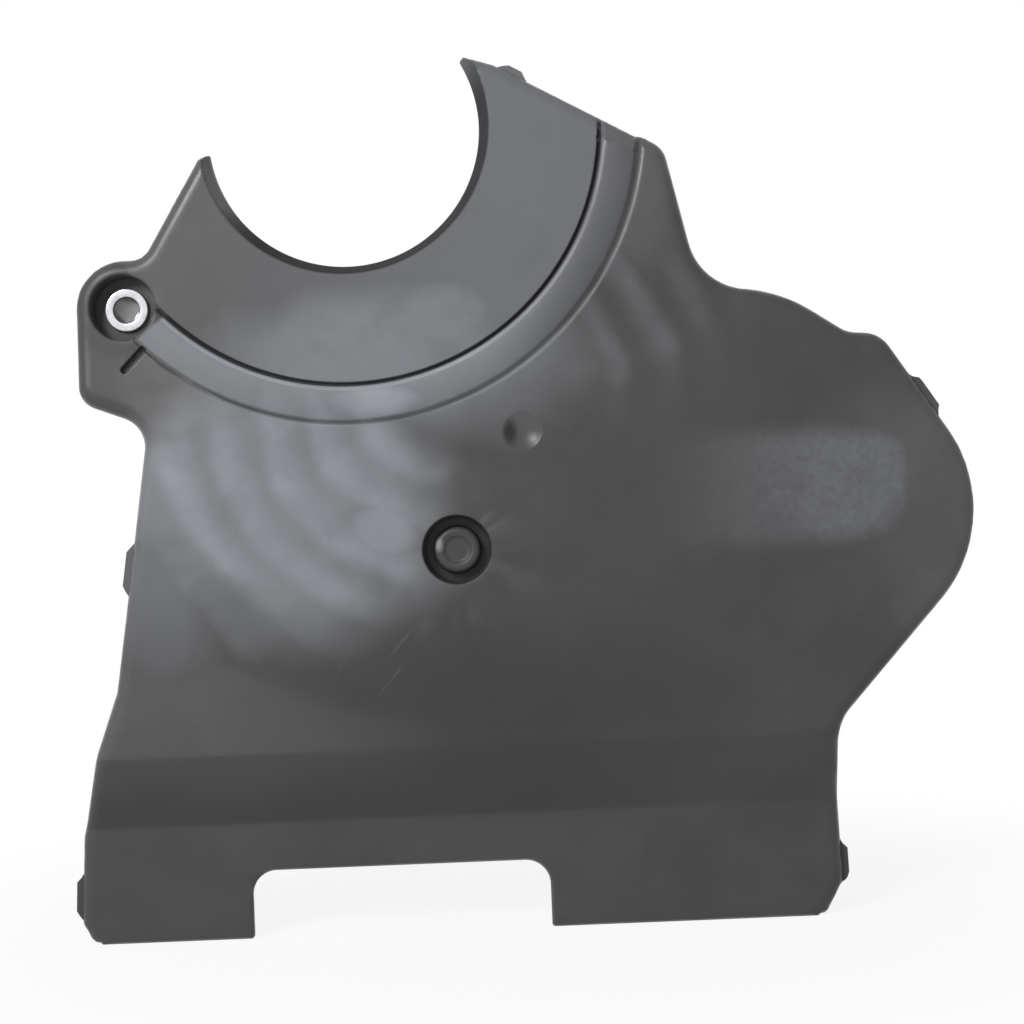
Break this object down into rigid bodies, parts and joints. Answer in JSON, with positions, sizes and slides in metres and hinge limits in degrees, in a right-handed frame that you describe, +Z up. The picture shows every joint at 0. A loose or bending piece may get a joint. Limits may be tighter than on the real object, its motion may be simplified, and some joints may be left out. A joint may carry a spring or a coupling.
{
  "type": "timing cover",
  "caption": "Moulded lower timing cover with a pulley cut-out, raised band, crowned face, stepped lap flange with a notch, and a screw lug with a steel sleeve.",
  "frame": {"origin": "on the pulley axis, in the plane of the rim that sits against the engine", "axes": "+Z up the cover's face, +Y from the face to the engine, +X to the right seen from the front"},
  "size_m": [0.2311, 0.0328, 0.2203],
  "materials": {
    "cover_plastic": "satin charcoal moulding with faint flow marks",
    "sleeve_steel": "bright zinc plating"
  },
  "bodies": {
    "root": {"cover_shell": "cover_plastic", "screw_sleeve": "sleeve_steel"}
  },
  "joints": []
}
